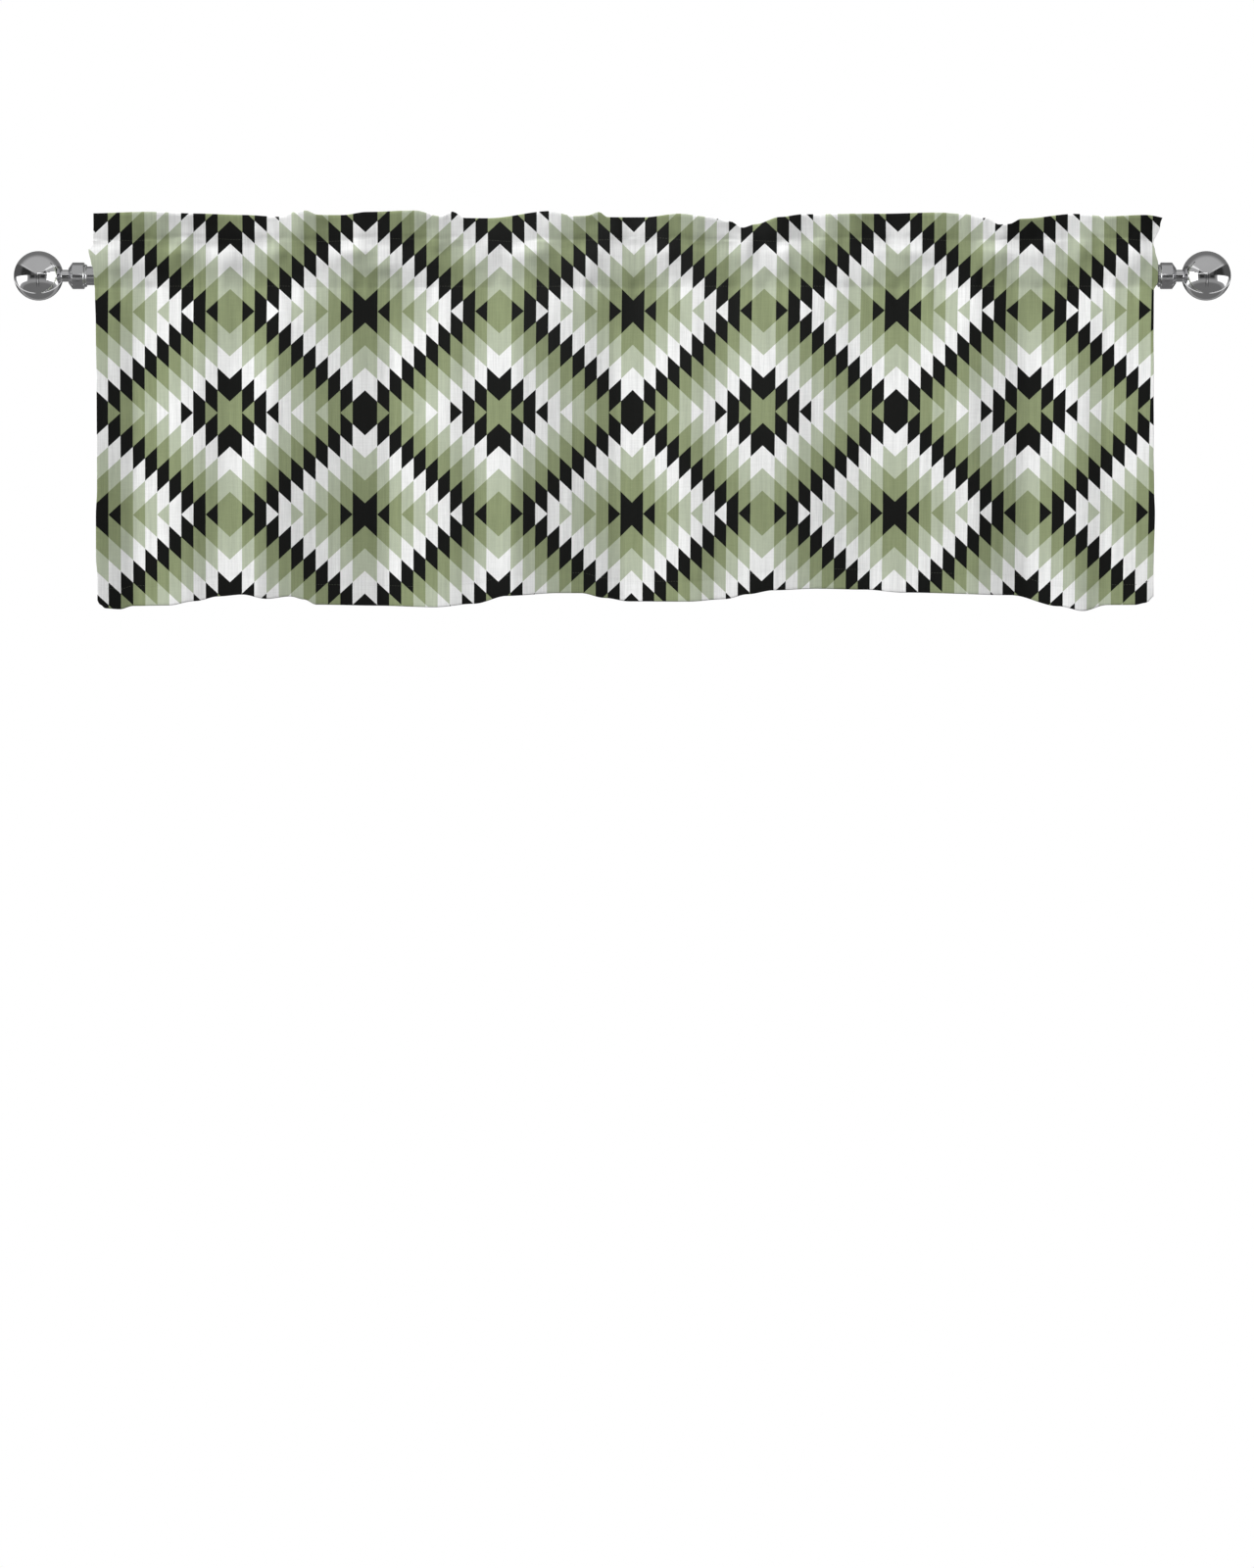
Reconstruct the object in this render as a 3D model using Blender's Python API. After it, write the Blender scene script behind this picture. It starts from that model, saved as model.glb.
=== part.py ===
# Window valance on a curtain rod.
# Origin on the rod's axis at mid-length, +X along the rod, +Z up. The front of the cloth faces -Y.
# Sizes and tables are in millimetres; vertices are made in metres.
# "out" is a distance towards the front, so it is -Y.
from math import acos, atan2, cos, exp, hypot, pi, radians, sin, sqrt

import bmesh
import bpy

MM = 0.001

# Metal parts, the same at both ends.
ROD_D = 22.0
ROD_WALL = 1.0
COLLAR_START = 625.0
# Outside of the collar from its inner end: distance along the rod, radius.
COLLAR_PROFILE = (
    (0, 12.6), (1.5, 13.1), (1.5, 12.4), (2.4, 12.4), (2.4, 13.7),
    (4.3, 15.1), (5.7, 15.5), (16.2, 15.5), (17.6, 14.3), (21.2, 8.75),
)
COLLAR_LENGTH = COLLAR_PROFILE[-1][0]
COLLAR_END_WALL = 5.7
BALL_D = 57.6
BALL_CENTRE = 681.5
NECK_D = 14.0
STUD_D = 8.0
STUD_LENGTH = 26.0
GAP = 0.3
ROUND_SIDES = 40
BALL_RINGS = 18

# Cloth.
PLY = 1.3
ROD_CLEARANCE = 0.45
LEFT_EDGE = -614.0
RIGHT_EDGE = 619.5
HEADER_SEAM = 41.0
HEADER_SEAM_OUT = 13.1
POCKET_SEAM = -13.0
BODY_OUT = 11.0
BODY_BELLY = 6.0
BOTTOM_HEM = 25.0
SIDE_HEM = 11.0
SEAM_ALLOWANCE = 3.0
STATIONS = 100
ARC_POINTS = 4
BODY_LEVELS = (0.22, 0.44, 0.66, 0.86)
FOLD_AT_POCKET = 0.4
FOLD_BELOW = 1.2
FOLD_BELOW_AT = 0.15
FOLD_AT_HEM = 1.4
# Inner face of the pocket's front ply: z, out.
POCKET_FRONT = ((-2, 11.9), (12, 12.5), (25, 12.9), (34, 13.1))
BACK_SLACK = 2.0
BACK_SLACK_SHAPE = (0.0, 0.05, 0.2, 0.45, 0.95)
EDGE_REACH = 55.0

# Upper edge of the header: x, z.
HEADER_EDGE = (
    (-616, 71.5), (-555, 73), (-498, 71), (-441, 69.5), (-401, 67.5), (-384, 73),
    (-371, 74.5), (-356, 69.5), (-328, 69.5), (-299, 73), (-243, 74.5), (-214, 68),
    (-200, 73.5), (-185, 66), (-157, 66), (-86, 74), (-58, 68), (-43, 68.5),
    (-29, 73), (-19, 67), (24, 67), (64, 71), (97, 67.5), (124, 62),
    (138, 55), (153, 59), (182, 67), (209, 70.5), (286, 71), (366, 72.5),
    (394, 71), (423, 66), (437, 58.5), (449, 59), (463, 65), (526, 71),
    (563, 68), (604, 69.5), (631, 64.5),
)
# Lower edge of the cloth: x, z.
HEM_EDGE = (
    (-616, -377), (-611, -384), (-605, -388.5), (-588, -389.5), (-573, -385.5), (-531, -385),
    (-500, -380), (-472, -374.5), (-444, -372.5), (-416, -377.5), (-388, -374.5), (-372, -378),
    (-358, -384), (-287, -385), (-218, -387), (-173, -383), (-134, -374), (-74, -370.5),
    (-47, -370.5), (-20, -376), (10, -380), (79, -380.5), (122, -377.5), (148, -372),
    (178, -367.5), (228, -365.5), (286, -366.5), (330, -370), (457, -373), (513, -386),
    (541, -391.5), (569, -384.5), (600, -384.5), (612, -382), (620, -374.5),
)
# Ridges and hollows of the hanging folds: x, out, softness, drift from the pocket to the hem.
FOLDS = (
    (-615, 4.5, 25, 0), (-567, -2, 8, -6), (-492, 5, 22, -22), (-443, 2, 18, -40), (-400, 7, 6, -28),
    (-269, -6, 7, -8), (-203, 2, 18, 0), (-170, 0, 14, 0), (-124, 5, 8, -3), (-13, -7, 7, 15),
    (76, 2.5, 12, 6), (117, 0.5, 9, -4), (186, 4.5, 22, 0), (278, -1, 14, 8), (399, 6.5, 6, 16),
    (468, -0.5, 7, 8), (532, 4, 14, 0), (568, 2, 8, -6), (620, 6, 20, 0),
)
# Puffs of the pocket's front: x, z, height, half width, half height.
PUFFS = (
    (-590, 22, 3.4, 14, 20), (-520, 25, 3.4, 15, 13), (-464, 18, 2.5, 13, 12), (-402, 27, 2.9, 13, 12),
    (-316, 26, 4.2, 22, 12), (-282, 16, 2.5, 18, 8), (-216, 38, 2.5, 12, 11), (-154, 34, 2.5, 14, 12),
    (-103, 26, 4.2, 20, 13), (-38, 21, 3.4, 14, 20), (52, 28, 2.9, 15, 11), (139, 30, 2.9, 12, 13),
    (185, 20, 3.4, 14, 12), (226, 31, 2.5, 12, 12), (337, 25, 2.5, 22, 14), (430, 22, 3.8, 20, 13),
    (488, 30, 2.5, 13, 12), (535, 30, 2.5, 13, 13), (590, 18, 4.2, 22, 20),
)
# Forward lean of the header's upper edge: x, out.
HEADER_LEAN = (
    (-616, 3), (-563, 6.5), (-521, 6.5), (-469, 3.5), (-401, 2), (-366, 7), (-332, 2), (-298, 3.5), (-246, 6.5),
    (-195, 3.5), (-160, 0), (-126, 2), (-58, 6.5), (11, 1), (80, 5), (114, 4), (148, -1), (183, 7),
    (217, 2.5), (268, 6), (320, 1), (372, 3.5), (423, 3), (457, 6.5), (526, 2.5), (594, 6), (631, 2.5),
)
# Side edges, from the header down: z, left edge's shift, right edge's shift.
SIDE_EDGES = (
    (72, -2, 11), (58, -2, 7), (36, -3, -1), (29, -8, 1), (12, -5, 5),
    (-8, -2.5, 5), (-17, -1.5, 0.5), (-60, 0, 0), (-400, 0, 0),
)


def along(rows, x, column=1):
    """Value of a table at x, eased between its rows."""
    if x <= rows[0][0]:
        return rows[0][column]
    for a, b in zip(rows, rows[1:]):
        if x <= b[0]:
            t = (x - a[0]) / (b[0] - a[0])
            return a[column] + (b[column] - a[column]) * t * t * (3 - 2 * t)
    return rows[-1][column]


def fold_out(x, down):
    """How far the body stands out at x. down is 0 at the pocket and 1 at the hem."""
    rows = [(row[0] + row[3] * down, row[1], row[2]) for row in FOLDS]
    soft = along(rows, x, 2)
    total = 0
    weights = 0
    for step in range(-4, 5):
        at = min(max(x + soft * step / 4, rows[0][0]), rows[-1][0])
        for a, b in zip(rows, rows[1:]):
            if at <= b[0]:
                break
        t = (at - a[0]) / (b[0] - a[0])
        weight = 1 - abs(step) / 5
        total += weight * (a[1] + (b[1] - a[1]) * t)
        weights += weight
    if down < FOLD_BELOW_AT:
        amount = FOLD_AT_POCKET + (FOLD_BELOW - FOLD_AT_POCKET) * down / FOLD_BELOW_AT
    else:
        amount = FOLD_BELOW + (FOLD_AT_HEM - FOLD_BELOW) * (down - FOLD_BELOW_AT) / (1 - FOLD_BELOW_AT)
    return BODY_OUT + amount * total / weights + BODY_BELLY * sin(pi * down)


def puff(x, z):
    """Outward swelling of the pocket's front at x and z."""
    return sum(
        height * exp(-(((x - at_x) / width) ** 2) - ((z - at_z) / tall) ** 2) for at_x, at_z, height, width, tall in PUFFS
    )


def header_out(x, z):
    """How far the middle between the header's plies stands out."""
    up = (z - HEADER_SEAM) / (along(HEADER_EDGE, x) - HEADER_SEAM)
    return HEADER_SEAM_OUT + along(HEADER_LEAN, x) * up * (1.25 - 0.25 * up) + 0.8 * puff(x, z)


def tangent(apex, side):
    """Angle where the back ply leaves the circle around the rod for a seam: side 1 below, -1 above."""
    radius = ROD_D / 2 + ROD_CLEARANCE
    return atan2(apex[1], apex[0]) - side * acos(radius / hypot(*apex))


def pocket_front(x, low):
    """Inner face of the pocket's front ply with outward normals, from the lower seam up."""
    points = []
    for z, out in POCKET_FRONT:
        flush = low[0] + (12 - low[0]) * (z - low[1]) / (25 - low[1])
        points.append((max(out, min(flush, 13.5)) + puff(x, z), z, 1, 0))
    return points


def pocket_back(x, low, high):
    """Inner face of the pocket's back ply with outward normals, around the rod and up to the header seam."""
    start = tangent(low, 1)
    end = tangent(high, -1) - 2 * pi
    half_step = abs(end - start) / (ARC_POINTS - 1) / 2
    radius = (ROD_D / 2 + ROD_CLEARANCE) / cos(half_step)
    points = []
    for i in range(ARC_POINTS):
        angle = start + (end - start) * i / (ARC_POINTS - 1)
        points.append((radius * cos(angle), radius * sin(angle), cos(angle), sin(angle)))
    last = points[-1]
    points.append(((last[0] + high[0]) / 2, (last[1] + high[1]) / 2, last[2], last[3]))
    swell = BACK_SLACK + 0.5 * puff(x + 25, 25)
    return [
        (y + swell * share * ny, z + swell * share * nz, ny, nz)
        for (y, z, ny, nz), share in zip(points, BACK_SLACK_SHAPE)
    ]


def section(x):
    """Front face, back face, tunnel front and tunnel back of the cloth at x, each from the hem up, as (out, z)."""
    hem = along(HEM_EDGE, x)
    top = along(HEADER_EDGE, x)
    from_edge = min(x - LEFT_EDGE, RIGHT_EDGE - x)
    extra = PLY if from_edge <= SIDE_HEM + 0.01 else 0.0
    hem_top = hem + BOTTOM_HEM
    under = POCKET_SEAM - SEAM_ALLOWANCE
    levels = [(hem + 1.0, 1), (hem_top - 0.6, 1), (hem_top + 0.6, 0)]
    levels += [(hem_top + (under - hem_top) * t, 0) for t in BODY_LEVELS]
    levels += [(under - 0.6, 0), (under, 1), (POCKET_SEAM, 1)]
    front = []
    back = []
    for z, doubled in levels:
        out = fold_out(x, (POCKET_SEAM - z) / (POCKET_SEAM - hem))
        front.append((out + PLY / 2, z))
        back.append((out - PLY / 2 - PLY * doubled - extra, z))
    low = (front[-1][0] - PLY, POCKET_SEAM)
    high = (header_out(x, HEADER_SEAM), HEADER_SEAM)
    tunnel_front = [low]
    tunnel_back = [low]
    sides = ((front, tunnel_front, pocket_front(x, low), 0), (back, tunnel_back, pocket_back(x, low, high), extra))
    for outer, inner, points, more in sides:
        for y, z, ny, nz in points:
            inner.append((y, z))
            outer.append((y + (PLY + more) * ny, z + (PLY + more) * nz))
        inner.append(high)
    for up in (0, 0.35, 0.7, 1):
        z = HEADER_SEAM + (top - 1.2 - HEADER_SEAM) * up
        out = header_out(x, z)
        front.append((out + PLY, z))
        back.append((out - PLY - extra, z))
    crest = (header_out(x, top) - extra / 2, top)
    foot = ((front[0][0] + back[0][0]) / 2, hem)
    return foot, front, crest, back, tunnel_front, tunnel_back


def edge_shift(x, z):
    """Shift of x that follows the uneven side edges and fades towards the middle."""
    rows = [(-row[0], row[1], row[2]) for row in SIDE_EDGES]
    left = max(0.0, 1 - (x - LEFT_EDGE) / EDGE_REACH) ** 2
    right = max(0.0, 1 - (RIGHT_EDGE - x) / EDGE_REACH) ** 2
    return along(rows, -z, 1) * left + along(rows, -z, 2) * right


def station_list():
    """Where the sections stand: evenly along the cloth, and close together where the side hems end."""
    first = LEFT_EDGE + SIDE_HEM
    last = RIGHT_EDGE - SIDE_HEM
    middle = [first + 1 + (last - first - 2) * i / (STATIONS - 5) for i in range(STATIONS - 4)]
    return [LEFT_EDGE, first, *middle, last, RIGHT_EDGE]


def new_mesh(name, bm, colour, metallic, roughness, sharp):
    """Mesh with its own material, shaded smooth up to the sharp angle in degrees."""
    bmesh.ops.recalc_face_normals(bm, faces=bm.faces)
    mesh = bpy.data.meshes.new(name)
    bm.to_mesh(mesh)
    bm.free()
    mesh.shade_smooth()
    mesh.set_sharp_from_angle(angle=radians(sharp))
    material = bpy.data.materials.new(name)
    material.use_nodes = True
    shader = material.node_tree.nodes["Principled BSDF"]
    shader.inputs["Base Color"].default_value = (*colour, 1.0)
    shader.inputs["Metallic"].default_value = metallic
    shader.inputs["Roughness"].default_value = roughness
    mesh.materials.append(material)
    return mesh


def add(name, mesh, x=0.0, turned=False):
    """Object at x along the rod, turned to face the other end if asked."""
    obj = bpy.data.objects.new(name, mesh)
    obj.location = (x * MM, 0, 0)
    obj.rotation_euler = (0, 0, pi if turned else 0)
    bpy.context.scene.collection.objects.link(obj)


def wrap(bm, stations, rings):
    """Shape a grid so that its columns are the stations and its rows run once around each ring."""
    columns = len(stations)
    rows = len(rings[0])
    grid = bmesh.ops.create_grid(bm, x_segments=columns - 1, y_segments=rows, size=1)["verts"]
    for index, vert in enumerate(grid):
        x = stations[index % columns]
        out, z = rings[index % columns][index // columns % rows]
        vert.co = ((x + edge_shift(x, z)) * MM, -out * MM, z * MM)
    bmesh.ops.remove_doubles(bm, verts=grid[:columns] + grid[-columns:], dist=0.00001)


def valance_mesh():
    """The cloth as one solid: its outside and the rod's tunnel, joined at the two cut edges."""
    bm = bmesh.new()
    stations = station_list()
    outsides = []
    tunnels = []
    for x in stations:
        foot, front, crest, back, tunnel_front, tunnel_back = section(x)
        outsides.append([foot, *front, crest, *reversed(back)])
        tunnels.append([*tunnel_front, *reversed(tunnel_back[1:-1])])
    wrap(bm, stations, outsides)
    wrap(bm, stations, tunnels)
    middle = (LEFT_EDGE + RIGHT_EDGE) / 2 * MM
    for end in (-1, 1):
        rim = [edge for edge in bm.edges if edge.is_boundary and (edge.verts[0].co.x - middle) * end > 0]
        bmesh.ops.triangle_fill(bm, edges=rim, use_beauty=True, normal=(end, 0, 0))
    return new_mesh("valance", bm, (0.47, 0.50, 0.39), 0.0, 0.85, 60)


def turned_mesh(name, rows, colour, roughness, closed=True):
    """Turn an outline of (distance along the rod, radius) about the rod's axis. A closed outline makes a ring."""
    bm = bmesh.new()
    outline = [bm.verts.new((x * MM, radius * MM, 0)) for x, radius in rows]
    edges = [bm.edges.new(pair) for pair in zip(outline, outline[1:])]
    if closed:
        edges.append(bm.edges.new((outline[-1], outline[0])))
    bmesh.ops.spin(
        bm, geom=outline + edges, cent=(0, 0, 0), axis=(1, 0, 0), angle=2 * pi, steps=ROUND_SIDES, use_merge=True
    )
    bmesh.ops.remove_doubles(bm, verts=bm.verts, dist=0.00001)
    return new_mesh(name, bm, colour, 1.0, roughness, 32)


def rod_mesh():
    """Plain tube that ends inside the two collars."""
    half = COLLAR_START + COLLAR_LENGTH - COLLAR_END_WALL - GAP
    outer = ROD_D / 2
    inner = outer - ROD_WALL
    rows = [(-half, outer), (half, outer), (half, inner), (-half, inner)]
    return turned_mesh("rod", rows, (0.62, 0.62, 0.64), 0.2)


def collar_mesh():
    """Sleeve over the rod's end, with a conical nose towards the ball and a groove near its inner end at x = 0."""
    bore = ROD_D / 2 + GAP
    floor = COLLAR_LENGTH - COLLAR_END_WALL
    hole = STUD_D / 2 + GAP
    rows = [(0, bore), *COLLAR_PROFILE, (COLLAR_LENGTH, hole), (floor, hole), (floor, bore)]
    return turned_mesh("collar", rows, (0.60, 0.60, 0.62), 0.2)


def finial_mesh():
    """Ball on a neck that starts at x = 0, with a stud through the collar into the rod."""
    ball = BALL_D / 2
    neck = NECK_D / 2
    stud = STUD_D / 2
    centre = BALL_CENTRE - COLLAR_START - COLLAR_LENGTH - GAP
    rows = [(-STUD_LENGTH, 0), (-STUD_LENGTH, stud - 0.5), (0.5 - STUD_LENGTH, stud), (0, stud), (0, neck)]
    first = acos(sqrt(1 - (neck / ball) ** 2))
    for i in range(BALL_RINGS + 1):
        angle = first + (pi - first) * i / BALL_RINGS
        rows.append((centre - ball * cos(angle), ball * sin(angle) if i < BALL_RINGS else 0))
    return turned_mesh("finial", rows, (0.66, 0.66, 0.68), 0.12, closed=False)


def main():
    for obj in list(bpy.data.objects):
        bpy.data.objects.remove(obj, do_unlink=True)
    add("valance", valance_mesh())
    add("rod", rod_mesh())
    collar = collar_mesh()
    finial = finial_mesh()
    neck_start = COLLAR_START + COLLAR_LENGTH + GAP
    for side, end in (("left", -1), ("right", 1)):
        add(f"collar_{side}", collar, end * COLLAR_START, end < 0)
        add(f"finial_{side}", finial, end * neck_start, end < 0)


main()
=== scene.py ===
# Window valance on a curtain rod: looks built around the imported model.
# +X runs along the rod, +Z is up and the front of the cloth faces -Y. "out" means towards the front.
import bpy
import bmesh
from math import acos, atan2, cos, exp, hypot, pi, radians, sin
from mathutils import Matrix, Vector


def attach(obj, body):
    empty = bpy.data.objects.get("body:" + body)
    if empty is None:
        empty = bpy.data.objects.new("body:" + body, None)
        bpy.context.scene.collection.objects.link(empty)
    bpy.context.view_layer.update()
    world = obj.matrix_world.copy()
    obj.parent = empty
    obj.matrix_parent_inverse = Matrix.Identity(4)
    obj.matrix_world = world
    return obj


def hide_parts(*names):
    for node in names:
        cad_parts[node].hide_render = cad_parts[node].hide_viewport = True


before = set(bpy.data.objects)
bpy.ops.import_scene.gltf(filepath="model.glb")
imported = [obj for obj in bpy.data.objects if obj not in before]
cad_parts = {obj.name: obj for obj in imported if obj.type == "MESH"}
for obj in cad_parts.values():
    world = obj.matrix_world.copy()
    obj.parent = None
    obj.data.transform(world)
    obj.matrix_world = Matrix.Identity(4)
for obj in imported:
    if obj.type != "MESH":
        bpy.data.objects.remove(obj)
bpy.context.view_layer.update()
bpy.ops.object.select_all(action="DESELECT")
mm = 0.001
print("frame loaded")

# the cloth's values, lengths in millimetres; z is 0 at the rod's axis
cloth = {
    "ply": 1.3,
    "rodRadius": 11.0,
    "rodGap": 0.45,
    "leftEdge": -614.0,
    "rightEdge": 619.5,
    "headerSeam": 41.0,
    "headerSeamOut": 13.1,
    "pocketSeam": -13.0,
    "seamAllowance": 3.0,
    "bottomHem": 25.0,
    "sideHem": 11.0,
    "bodyOut": 11.0,
    "bodyBelly": 6.0,
    # depth of the folds at the pocket, where they have opened, and at the hem
    "foldAtPocket": 0.4,
    "foldBelow": 1.2,
    "foldAtHem": 1.4,
    "foldOpen": 0.15,  # share of the height over which they open
    "hollowAtPocket": 0.3,
    # columns and rows of the mesh
    "columnStep": 3.25,
    "edgeColumns": (0, 0.5, 2, 5, 8),
    "bodyRows": 58,
    "headerRows": 10,
    "hemLevels": (0.35, 1.0, 4, 9, 15),  # above the lower edge
    "hemTopLevels": (-4, -1.5, -0.3, 0.4),  # from the hem's upper edge
    # how far inwards the uneven side edges reach
    "edgeReach": 55.0,
    # gathers along both seams: depth, share at the header, how they fade upwards and downwards
    "gatherRipple": 0.55,
    "gatherAtHeader": 0.9,
    "gatherFadeUp": 16.0,
    "gatherFadeDown": 38.0,
    "gatherStart": 12.0,
    # length, how much and how slowly it wanders, start, height
    "ripples": ((2.9, 1.5, 37, 0, 0.45), (4.7, 2.0, 53, 1.0, 0.75), (8.3, 0, 1, 2.6, 0.6)),
    # wander of the upper seam: height, length, start
    "seamWander": ((1.5, 41, 1), (0.9, 17, 0)),
    "creaseDepth": 0.22,
    "softRipple": 0.5,
    "stitchGroove": (0.15, 1.5, 2.2),  # depth, distance below the hem's top, half width
    # height over which the header's step rises, and how much of the puffs goes on into the header
    "stepRise": (32.0, 50.0),
    "puffAtHeader": 0.8,
    # slack of the back ply around the rod and above it: share of the way, share of the slack
    "backSlack": 2.0,
    "backPuff": 0.5,
    "slackAround": (0, 0.05, 0.2, 0.45),
    "slackAbove": ((0.35, 0.9), (0.72, 1.0)),
    # where the folds stand out past the rod: least out, at this z, and most out
    "flush": (12.0, 25.0, 13.5),
    # front of the tunnel: z, out
    "pocketFront": ((-2, 11.65), (12, 12.5), (25, 13.05), (34, 13.1)),
    # upper edge of the header: x, z
    "headerEdge": (
        (-616, 71.5), (-555, 73), (-498, 71), (-441, 69.5), (-401, 67.5), (-384, 73),
        (-371, 74.5), (-356, 69.5), (-328, 69.5), (-299, 73), (-243, 74.5), (-214, 68),
        (-200, 73.5), (-185, 66), (-157, 66), (-86, 74), (-58, 68), (-43, 68.5),
        (-29, 73), (-19, 67), (24, 67), (64, 71), (97, 67.5), (124, 62),
        (138, 55), (153, 59), (182, 67), (209, 70.5), (286, 71), (366, 72.5),
        (394, 71), (423, 66), (437, 58.5), (449, 59), (463, 65), (526, 71),
        (563, 68), (604, 69.5), (631, 64.5),
    ),
    # lower edge of the cloth: x, z
    "hemEdge": (
        (-616, -377), (-611, -384), (-605, -388.5), (-588, -389.5), (-573, -385.5), (-531, -385),
        (-500, -380), (-472, -374.5), (-444, -372.5), (-416, -377.5), (-388, -374.5), (-372, -378),
        (-358, -384), (-287, -385), (-218, -387), (-173, -383), (-134, -374), (-74, -370.5),
        (-47, -370.5), (-20, -376), (10, -380), (79, -380.5), (122, -377.5), (148, -372),
        (178, -367.5), (228, -365.5), (286, -366.5), (330, -370), (457, -373), (513, -386),
        (541, -391.5), (569, -384.5), (600, -384.5), (612, -382), (620, -374.5),
    ),
    # ridges and hollows of the hanging folds: x, out, softness, drift from the pocket to the hem
    "folds": (
        (-615, 4.5, 25, 0), (-567, -2, 8, -6), (-492, 5, 22, -22), (-443, 2, 18, -40), (-400, 7, 6, -28),
        (-269, -6, 7, -8), (-203, 2, 18, 0), (-170, 0, 14, 0), (-124, 5, 8, -3), (-13, -7, 7, 15),
        (76, 2.5, 12, 6), (117, 0.5, 9, -4), (186, 4.5, 22, 0), (278, -1, 14, 8), (399, 6.5, 6, 16),
        (468, -0.5, 7, 8), (532, 4, 14, 0), (568, 2, 8, -6), (620, 6, 20, 0),
    ),
    # puffs of the pocket's front: x, z, height, half width, half height
    "puffs": (
        (-590, 22, 3.4, 14, 20), (-520, 25, 3.4, 15, 13), (-464, 18, 2.5, 13, 12), (-402, 27, 2.9, 13, 12),
        (-316, 26, 4.2, 22, 12), (-282, 16, 2.5, 18, 8), (-216, 38, 2.5, 12, 11), (-154, 34, 2.5, 14, 12),
        (-103, 26, 4.2, 20, 13), (-38, 21, 3.4, 14, 20), (52, 28, 2.9, 15, 11), (139, 30, 2.9, 12, 13),
        (185, 20, 3.4, 14, 12), (226, 31, 2.5, 12, 12), (337, 25, 2.5, 22, 14), (430, 22, 3.8, 20, 13),
        (488, 30, 2.5, 13, 12), (535, 30, 2.5, 13, 13), (590, 18, 4.2, 22, 20),
    ),
    # forward lean of the header's upper edge: x, out
    "headerLean": (
        (-616, 3), (-563, 6.5), (-521, 6.5), (-469, 3.5), (-401, 2), (-366, 7), (-332, 2), (-298, 3.5),
        (-246, 6.5), (-195, 3.5), (-160, 0), (-126, 2), (-58, 6.5), (11, 1), (80, 5), (114, 4),
        (148, -1), (183, 7), (217, 2.5), (268, 6), (320, 1), (372, 3.5), (423, 3), (457, 6.5),
        (526, 2.5), (594, 6), (631, 2.5),
    ),
    # how far the header steps forward over the upper seam: x, out
    "headerStep": ((-616, 1.9), (100, 1.9), (300, 0.9), (631, 0.9)),
    # how far the upper pocket and the header stand further out: x, out
    "pocketLift": ((-616, 1.0), (-250, 1.0), (0, 0.6), (250, 0.1), (350, 0)),
    # side edges from the header down: z, left edge's shift, right edge's shift
    "sideEdges": (
        (72, -3.7, 9.3), (58, -3.7, 5.3), (36, -4.7, -2.7), (29, -9.7, -0.7), (12, -6.4, 3.4),
        (7, -4.0, 3.4), (-8, -3.4, 3.5), (-17, -2.4, -0.9), (-60, -1.0, -0.4), (-120, 0, 0),
        (-200, 0, 1.5), (-250, 0, 2.8), (-280, -1.5, 4), (-330, -1.5, 3.5), (-350, 0, 3.5), (-400, 0, 4.5),
    ),
    # the cloth hangs slightly askew: z, shift to the right, stretch
    "hang": ((-380, -1.2, -0.006), (-250, -0.45, -0.0047), (-90, 0.45, -0.002), (30, 1.7, 0)),
}


def tableValue(rows, x, column=1):
    # value of a table at x, eased between its rows
    if x <= rows[0][0]:
        return rows[0][column]
    for a, b in zip(rows, rows[1:]):
        if x <= b[0]:
            t = (x - a[0]) / (b[0] - a[0])
            return a[column] + (b[column] - a[column]) * t * t * (3 - 2 * t)
    return rows[-1][column]


def hangShift(x, z):
    return tableValue(cloth["hang"], z, 1) + tableValue(cloth["hang"], z, 2) * x


def foldOut(x, down):
    # how far the hanging part stands out at x, with down from 0 at the pocket to 1 at the hem
    rows = [(row[0] + row[3] * down, row[1], row[2]) for row in cloth["folds"]]
    soft = tableValue(rows, x, 2)
    reach = 4
    total = weights = 0
    for step in range(-reach, reach + 1):
        at = min(max(x + soft * step / reach, rows[0][0]), rows[-1][0])
        for a, b in zip(rows, rows[1:]):
            if at <= b[0]:
                break
        weight = 1 - abs(step) / (reach + 1)
        total += weight * (a[1] + (b[1] - a[1]) * (at - a[0]) / (b[0] - a[0]))
        weights += weight
    value = total / weights
    opened = cloth["foldOpen"]
    if down < opened:
        amount = cloth["foldAtPocket"] + (cloth["foldBelow"] - cloth["foldAtPocket"]) * down / opened
        if value < 0:
            hollow = cloth["hollowAtPocket"]  # hollows start below the pocket
            amount *= hollow + (1 - hollow) * down / opened
    else:
        grown = (down - opened) / (1 - opened)
        amount = cloth["foldBelow"] + (cloth["foldAtHem"] - cloth["foldBelow"]) * grown
    return cloth["bodyOut"] + amount * value + cloth["bodyBelly"] * sin(pi * down)


def puffAt(x, z):
    return sum(
        height * exp(-(((x - atX) / width) ** 2) - ((z - atZ) / tall) ** 2)
        for atX, atZ, height, width, tall in cloth["puffs"] if abs(x - atX) < 3 * width
    )


def ripple(x, z):
    # small uneven gathers along a seam, leaning a little
    lean = x + 0.12 * z
    return sum(
        sin(lean / length + wander * sin(lean / slow) + start) * height
        for length, wander, slow, start, height in cloth["ripples"]
    )


def headerSeamAt(x):
    # the seam above the rod wanders a little
    return cloth["headerSeam"] + sum(
        height * sin(x / length + start) for height, length, start in cloth["seamWander"]
    )


def crease(x, z):
    # soft creases of the pocket and the header, always outwards; the waves' lengths never fall together
    wave = (
        sin(x / 6.1 + z / 8.3 + 1.9 * sin(x / 31)) * sin(z / 5.9 - x / 12.7 + 0.6)
        + 0.8 * sin(x / 10.3 - z / 6.7 + 1.3 * sin(x / 43 + 2)) * sin(z / 9.1 + x / 17.9)
    )
    return cloth["creaseDepth"] * max(0, 1 + wave)


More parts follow.
